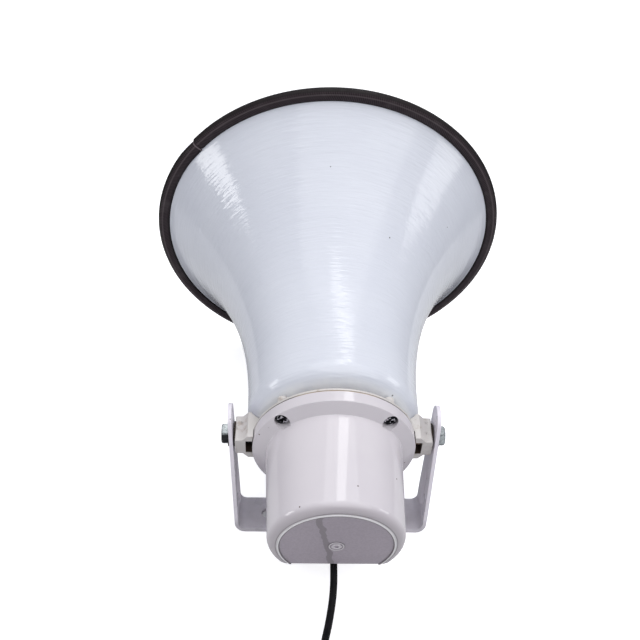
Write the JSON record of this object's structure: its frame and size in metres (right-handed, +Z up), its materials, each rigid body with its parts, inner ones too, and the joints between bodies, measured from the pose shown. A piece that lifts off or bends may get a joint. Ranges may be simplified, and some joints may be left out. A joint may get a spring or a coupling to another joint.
{
  "type": "pa horn speaker",
  "caption": "Re-entrant public-address horn loudspeaker with a spun flare, a moulded driver housing and a tilting U bracket with friction pivots.",
  "frame": {"origin": "centre of the bracket base's lower face, midway between its two fixing holes", "axes": "+Z up from the surface that the base stands on, +Y towards the horn's mouth, X along the pivot"},
  "size_m": [0.222, 0.3426, 0.2126],
  "materials": {
    "bracket_enamel": "white enamel on bent steel strip",
    "horn_enamel": "cool white enamel on spun aluminium with fine turning lines",
    "trim_rubber": "matt black channel with fine ribs",
    "ring_plastic": "ivory moulding",
    "gasket_rubber": "dark brown sheet",
    "cover_plastic": "warm lilac-white gloss moulding",
    "dark_chrome": "dark plated pan heads",
    "zinc_steel": "bright zinc plate",
    "inner_plastic": "white moulding",
    "cast_alloy": "plain die casting",
    "diaphragm_film": "amber film",
    "coil_wire": "enamelled copper wire",
    "magnet_ferrite": "sintered ferrite",
    "core_steel": "laminated steel",
    "terminal_board": "brown board",
    "tag_brass": "tinned brass tags",
    "cord_rubber": "matt black sheath",
    "tie_plastic": "white strap",
    "core_insulation": "coloured core insulation"
  },
  "bodies": {
    "bracket": {"bracket": "bracket_enamel"},
    "horn": {"horn_flare": "horn_enamel", "rim_trim": "trim_rubber", "mounting_ring": "ring_plastic", "horn_gasket": "gasket_rubber", "cover_gasket": "gasket_rubber", "rear_cover": "cover_plastic", "cover_screws": "dark_chrome", "pivot_bolts": "zinc_steel", "pivot_nuts": "zinc_steel", "bolt_washers": "gasket_rubber", "friction_washers": "gasket_rubber", "throat_tube": "inner_plastic", "tube_screws": "zinc_steel", "reflector": "inner_plastic", "reflector_screw": "zinc_steel", "throat_plate": "cast_alloy", "driver_screws": "zinc_steel", "phase_plug": "inner_plastic", "diaphragm": "diaphragm_film", "clamp_ring": "inner_plastic", "voice_coil": "coil_wire", "top_plate": "zinc_steel", "magnet": "magnet_ferrite", "back_plate": "zinc_steel", "transformer_core": "core_steel", "transformer_winding": "coil_wire", "transformer_clips": "zinc_steel", "terminal_strip": "terminal_board", "terminal_tags": "tag_brass", "cable_bush": "cord_rubber", "cord": "cord_rubber", "cord_coil": "cord_rubber", "cord_tail": "cord_rubber", "cord_tie": "tie_plastic", "cord_cores": "core_insulation"}
  },
  "joints": [
    {"name": "tilt", "type": "hinge", "parent": "bracket", "child": "horn", "pos_m": [0, 0, 0.05832], "axis": [1, 0, 0], "range_deg": [-36, 24]}
  ]
}
